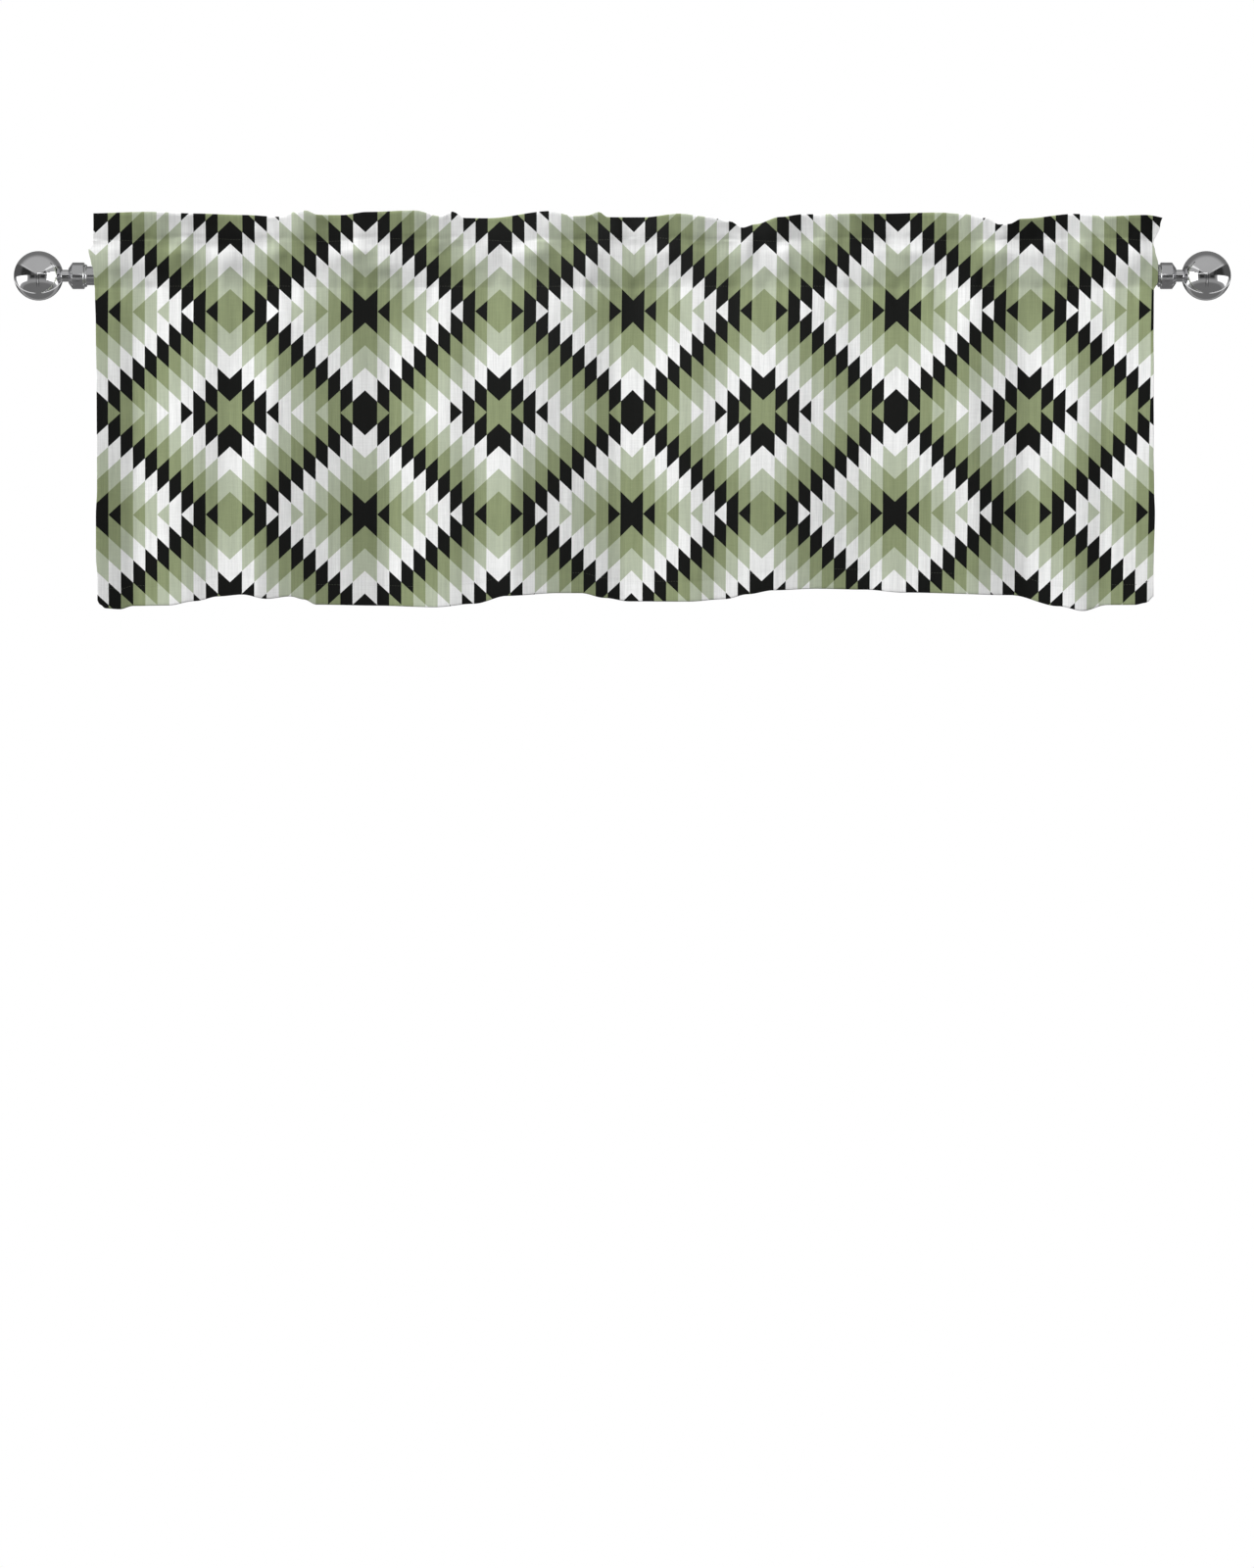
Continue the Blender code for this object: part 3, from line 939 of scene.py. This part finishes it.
def makeWeaveGroup():
    # plain weave: height of the threads, and fine streaks along them
    group = newGroup(
        "plainWeave",
        [("Print Map", "Vector", None), ("Warps per Strip", "Float", 26.0),
         ("Wefts per Cell", "Float", 46.0), ("Streak Depth", "Float", 0.08)],
        [("Height", "Float"), ("Shade", "Float")],
    )
    w = Wiring(group)
    given = w.node("NodeGroupInput").outputs
    across, down = w.split(given["Print Map"])[:2]
    warp = w.times(across, given["Warps per Strip"])
    weft = w.times(down, given["Wefts per Cell"])
    warpWave = w.math("ABSOLUTE", w.math("SINE", w.times(warp, pi)))
    weftWave = w.math("ABSOLUTE", w.math("SINE", w.times(weft, pi)))
    turn = w.math("FLOORED_MODULO", w.plus(w.math("FLOOR", warp), w.math("FLOOR", weft)), 2.0)
    height = w.plus(w.times(warpWave, turn), w.times(weftWave, w.minus(1.0, turn)))
    # slubs run down the warp, fainter ones along the weft: scale, roughness, share
    streak = 0.0
    for scale, roughness, share in (((9.0, 0.55, 1.0), 0.65, 1.0), ((2.2, 0.16, 1.0), 0.55, 0.6),
                                    ((0.7, 14.0, 1.0), 0.5, 0.35)):
        place = w.vectorMath("MULTIPLY", {0: given["Print Map"], 1: scale})
        slub = w.noise(place, 1.0, 3.0, roughness, noise_dimensions="2D")
        streak = w.plus(streak, w.times(w.minus(slub, 0.5), share))
    w.node("NodeGroupOutput", {
        "Height": w.math("MULTIPLY_ADD", streak, 0.5, height),
        "Shade": w.math("MULTIPLY_ADD", w.times(streak, given["Streak Depth"]), 2.0, 1.0),
    })
    return group


def makePolishGroup():
    # polished metal: faint wipe marks in the roughness and tiny unevenness
    group = newGroup(
        "polishedMetal",
        [("Base Roughness", "Float", 0.08), ("Wipe Depth", "Float", 0.05),
         ("Tone", "Color", (0.7, 0.7, 0.72, 1))],
        [("Colour", "Color"), ("Roughness", "Float"), ("Height", "Float")],
    )
    w = Wiring(group)
    given = w.node("NodeGroupInput").outputs
    place = w.node("ShaderNodeTexCoord").outputs["Object"]
    marks = w.noise(place, 60.0, 4.0)
    grey = w.math("MULTIPLY_ADD", marks, 0.12, 0.92)
    joined = w.node("ShaderNodeCombineColor", {0: grey, 1: grey, 2: grey}).outputs[0]
    w.node("NodeGroupOutput", {
        "Colour": w.mixColours(1.0, given["Tone"], joined, blend_type="MULTIPLY"),
        "Roughness": w.math("MULTIPLY_ADD", marks, given["Wipe Depth"], given["Base Roughness"]),
        "Height": w.noise(place, 900.0, 2.0),
    })
    return group


printGroup = makePrintGroup()
weaveGroup = makeWeaveGroup()
polishGroup = makePolishGroup()


def newMaterial(name):
    material = bpy.data.materials.new(name)
    material.use_nodes = True
    return material, Wiring(material.node_tree), material.node_tree.nodes["Principled BSDF"]


def newPrinted(name, inks):
    # a material with the print on the piece's own map
    material, w, shader = newMaterial(name)
    printMap = w.node("ShaderNodeUVMap", uv_map="printMap").outputs[0]
    diamonds = w.node("ShaderNodeGroup", {"Print Map": printMap, **inks}, node_tree=printGroup)
    return material, w, shader, printMap, diamonds.outputs[0]


def makeClothMaterial(name, inks, streakDepth):
    material, w, shader, printMap, colour = newPrinted(name, inks)
    weave = w.node(
        "ShaderNodeGroup", {"Print Map": printMap, "Streak Depth": streakDepth}, node_tree=weaveGroup
    ).outputs
    w.fill(shader, {
        "Base Color": w.vectorMath("SCALE", {0: colour, "Scale": weave["Shade"]}),
        "Normal": w.bump(weave["Height"], clothFinish),
        **clothFinish["sockets"],
    })
    return material


def makeMetal(name, finish):
    material, w, shader = newMaterial(name)
    polish = w.node("ShaderNodeGroup", finish, node_tree=polishGroup).outputs
    w.fill(shader, {
        "Base Color": polish["Colour"],
        "Roughness": polish["Roughness"],
        "Normal": w.bump(polish["Height"], metalBump),
        "Metallic": 1.0,
    })
    return material


def makeThreadMaterial(name, inks):
    # thread that nearly matches the ink around it, with diagonal bands of painted shade where its twist's
    # grooves would be
    share = threadFinish["share"]
    tinted = {
        label: (*(a + (b - a) * share for a, b in zip(ink, threadFinish["colour"])), 1)
        for label, ink in inks.items()
    }
    material, w, shader, printMap, colour = newPrinted(name, tinted)
    place = w.node("ShaderNodeTexCoord").outputs["Object"]
    values = {"Vector": place, "Scale": threadFinish["twist"]}
    twist = w.node("ShaderNodeTexWave", values, wave_type="BANDS", bands_direction="DIAGONAL")
    ramp = w.node("ShaderNodeValToRGB", {0: twist.outputs["Fac"]})
    ramp.color_ramp.elements[0].color = (*[threadFinish["paintedTwistShade"]] * 3, 1)
    w.fill(shader, {
        "Base Color": w.vectorMath("MULTIPLY", {0: colour, 1: ramp.outputs[0]}),
        "Roughness": threadFinish["roughness"],
    })
    return material


def paler(value):
    return clothFinish["reversePale"] + (value - clothFinish["reversePale"]) * clothFinish["reverseInk"]


reverseInks = {label: (*map(paler, ink[:3]), 1) for label, ink in inkColours.items()}
for name, inks, depth in (("printedCloth", inkColours, "streakDepth"),
                          ("clothReverse", reverseInks, "reverseStreakDepth")):
    valanceCloth.data.materials.append(makeClothMaterial(name, inks, clothFinish[depth]))
for name, inks in (("seamThread", inkColours), ("seamThreadBack", reverseInks)):
    stitching.data.materials.append(makeThreadMaterial(name, inks))
ballMetal = makeMetal("polishedBall", ballFinish)
collarMetal = makeMetal("polishedCollar", rodFinish)
rodMetal = makeMetal("polishedRod", rodFinish)
for obj, metal in ((finialRight, ballMetal), (finialLeft, ballMetal), (collarRight, collarMetal),
                   (collarLeft, collarMetal), (curtainRod, rodMetal)):
    obj.data.materials.clear()
    obj.data.materials.append(metal)
print("materials made")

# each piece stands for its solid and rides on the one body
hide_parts("valance")
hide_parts("rod")
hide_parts("collar_left")
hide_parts("collar_right")
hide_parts("finial_left")
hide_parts("finial_right")
for obj, slot in ((valanceCloth, "valance"), (stitching, "valance"), (curtainRod, "rod"),
                  (collarLeft, "collar"), (collarRight, "collar"),
                  (finialLeft, "finial"), (finialRight, "finial")):
    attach(obj, "root")

room = {
    "floorZ": -2.05,
    "floorSize": 8.0,
    "floorColour": (0.82, 0.82, 0.81, 1),
    "floorRoughness": 0.7,
    # even light for the cloth: from below, what comes on top of it from above, and where it rises
    "fromBelow": 0.1375,
    "fromAbove": 0.495,
    "softHeights": (-0.6, 0.8),
    # in what the metal mirrors: rise of the wedge, and the tilt of the arc as shares of y and z
    "wedgeSlope": 0.6,
    "arcTilt": (0.76, 0.647),
}
# what the polished metal mirrors: brightness of each field
mirrored = {
    "ceiling": 0.44, "farSide": 0.18, "doorway": 0.03, "farWall": 0.09, "wedgeEdge": 0.6, "streak": 0.012,
    "arc": 0.9, "window": 1.6, "table": 0.16, "tableFar": 0.3,
}
# where each field starts and is full, as parts of a direction
fieldEdges = {
    "horizon": (-0.02, 0.02), "front": (0.5, -0.05), "table": (-0.62, -0.5),
    "wedge": (-0.03, 0.03), "wedgeRim": (-0.12, -0.06), "wedgeRimAside": (0.3, 0.5),
    "wedgeDarkAside": (0.42, 0.56), "wedgeDarkDepth": (0.1, -0.25),
    "wallHeight": (-0.38, -0.2), "wallAside": (0.72, 0.5),
    "spotHeight": (-0.24, -0.17), "spotAside": (0.2, 0.28),
    "arcInner": (0.655, 0.675), "arcOuter": (0.725, 0.705), "arcAside": (0.12, 0.3),
    "windowHeight": (-0.44, -0.34), "windowAside": (0.72, 0.80), "windowDepth": (0.6, 0.45),
    "streakFoot": (-0.92, -0.62), "streakTop": (0.24, 0.1), "streakInner": (0.055, 0.07),
    "streakOuter": (0.11, 0.095), "streakDepth": (0.3, 0.0),
}


def makeFloor():
    deselectAll()
    bpy.ops.mesh.primitive_plane_add(size=room["floorSize"], location=(0, 0, room["floorZ"]))
    floorPlane = bpy.context.object
    floorPlane.name = "floor"
    placeIntoMesh(floorPlane)
    material, w, shader = newMaterial("paleFloor")
    w.fill(shader, {"Base Color": room["floorColour"], "Roughness": room["floorRoughness"]})
    floorPlane.data.materials.append(material)
    floorPlane.visible_glossy = floorPlane.visible_diffuse = False


def makeWorld():
    world = bpy.data.worlds.new("softRoom")
    bpy.context.scene.world = world
    world.use_nodes = True
    tree = world.node_tree
    tree.nodes.clear()
    w = Wiring(tree)
    x, y, z = w.split(w.node("ShaderNodeTexCoord").outputs["Generated"])

    def ramp(value, edge):
        # 0 at the edge's first number, 1 at its second
        falling = edge[0] > edge[1]
        values = dict(enumerate((value, *sorted(edge), float(falling), float(not falling))))
        return w.node("ShaderNodeMapRange", values, interpolation_type="SMOOTHSTEP").outputs[0]

    def field(value, name):
        return ramp(value, fieldEdges[name])

    def blend(a, b, amount):
        return w.node("ShaderNodeMix", {0: amount, 2: a, 3: b}, data_type="FLOAT").outputs[0]

    lit = ramp(z, room["softHeights"])
    soft = w.math("MULTIPLY_ADD", lit, room["fromAbove"], room["fromBelow"])
    aside = w.math("ABSOLUTE", x)
    front = field(y, "front")
    upper = w.math("MULTIPLY_ADD", front, mirrored["ceiling"] - mirrored["farSide"], mirrored["farSide"])
    # a wedge over the horizon that rises to both sides, darkest halfway out, under a lighter edge
    wedgeTop = w.minus(w.times(aside, room["wedgeSlope"]), z)
    dark = w.times(field(aside, "wedgeDarkAside"), field(y, "wedgeDarkDepth"))
    rim = w.times(field(wedgeTop, "wedgeRim"), field(aside, "wedgeRimAside"), front)
    upper = blend(upper, mirrored["wedgeEdge"], rim)
    upper = blend(upper, blend(mirrored["farWall"], mirrored["doorway"], dark), field(wedgeTop, "wedge"))
    # a dim band straight ahead
    lower = blend(mirrored["table"], mirrored["tableFar"], field(z, "table"))
    spot = w.times(field(aside, "spotAside"), field(z, "spotHeight"))
    ahead = blend(mirrored["farWall"], mirrored["doorway"], spot)
    lower = blend(lower, ahead, w.times(field(z, "wallHeight"), field(aside, "wallAside")))
    # a thin bright arc low down and behind
    turned = w.minus(w.times(y, room["arcTilt"][0]), w.times(z, room["arcTilt"][1]))
    arc = w.times(field(turned, "arcInner"), field(turned, "arcOuter"), field(aside, "arcAside"))
    lower = blend(lower, mirrored["arc"], arc)
    opening = w.times(field(z, "windowHeight"), field(aside, "windowAside"), field(y, "windowDepth"))
    lower = blend(lower, mirrored["window"], opening)
    metal = blend(lower, upper, field(z, "horizon"))
    # black streak that only the rod, the collars and the necks can mirror
    streak = w.times(field(z, "streakFoot"), field(z, "streakTop"), field(y, "streakDepth"))
    streak = w.times(streak, field(aside, "streakInner"), field(aside, "streakOuter"))
    metal = blend(metal, mirrored["streak"], streak)
    # the camera sees plain white, gloss sees the room and the cloth gets the even light
    rays = w.node("ShaderNodeLightPath").outputs
    seen = blend(blend(soft, metal, rays["Is Glossy Ray"]), 1.0, rays["Is Camera Ray"])
    background = w.node("ShaderNodeBackground", {"Color": (1, 1, 1, 1), "Strength": seen})
    w.node("ShaderNodeOutputWorld", {0: background.outputs[0]})


# lamps in metres, each a place, what it points at, size, and power or brightness
backLight = ((2.5, 4.5, 2.5), (0, 0, -0.15), (2.5, 2.5), 260.0)
keyLight = {"from": (-0.66, -0.44, 0.61), "strength": 4.8, "softness": 14.0}
reflectors = {
    "middlePanel": ((0, -0.5, -0.07), (0, 0, -0.07), (0.37, 0.42), 2.0),
    "thinStrip": ((0, -0.75, 0.1), (0, 0, 0.1), (1.4, 0.03), 1.2),
}
# these stand once at each side, with x turned over at the left
sideReflectors = {
    "collarStrip": ((0.682, -0.5, -0.29), (0.635, 0, 0), (0.021, 0.16), 0.3),
    "windowPanel": ((0, -0.22, 0.05), (1, -0.22, 0.05), (0.38, 0.24), 2.0),
    "windowEdge": ((0, 0.15, 0.05), (1, 0.15, 0.05), (0.24, 0.22), 1.2),
    "wallPanel": ((0, -0.44, 0.36), (1, -0.44, 0.36), (0.82, 0.38), 0.3),
}
# square on to the cloth, from about eight metres
view = {"lens": 157, "sensor": 36, "place": (0.0054, -7.98, -0.593)}


def makeLight(name, place, aim, size, power):
    data = bpy.data.lights.new(name, "AREA")
    data.shape = "RECTANGLE"
    data.size, data.size_y = size
    data.energy = power
    light = newObject(name, data)
    light.location = place
    light.rotation_euler = (Vector(aim) - Vector(place)).to_track_quat("-Z", "Y").to_euler()
    light.visible_camera = False
    light.visible_glossy = False
    return light


def makeKeyLight():
    # slanting light from the upper left, which shows the folds
    data = bpy.data.lights.new("keyLight", "SUN")
    data.energy = keyLight["strength"]
    data.angle = radians(keyLight["softness"])
    light = newObject("keyLight", data)
    light.rotation_euler = (-Vector(keyLight["from"])).to_track_quat("-Z", "Y").to_euler()
    light.visible_glossy = False


def makeReflector(name, place, aim, size, brightness):
    # seen only in the metal
    light = makeLight(name, place, aim, size, brightness * 4 * size[0] * size[1])
    light.visible_glossy = True
    light.visible_diffuse = False


def makeCamera():
    data = bpy.data.cameras.new("camera")
    data.lens = view["lens"]
    data.sensor_width = view["sensor"]
    camera = newObject("camera", data)
    camera.location = view["place"]
    camera.rotation_euler = (pi / 2, 0, 0)
    bpy.context.scene.camera = camera


makeFloor()
makeWorld()
makeKeyLight()
makeLight("backLight", *backLight)
for name, values in reflectors.items():
    makeReflector(name, *values)
for side, sideName in ((-1, "Left"), (1, "Right")):
    for name, (place, aim, size, brightness) in sideReflectors.items():
        place, aim = ((side * spot[0], *spot[1:]) for spot in (place, aim))
        makeReflector(name + sideName, place, aim, size, brightness)
makeCamera()
bpy.context.scene.view_settings.view_transform = "Standard"
print("stage made")
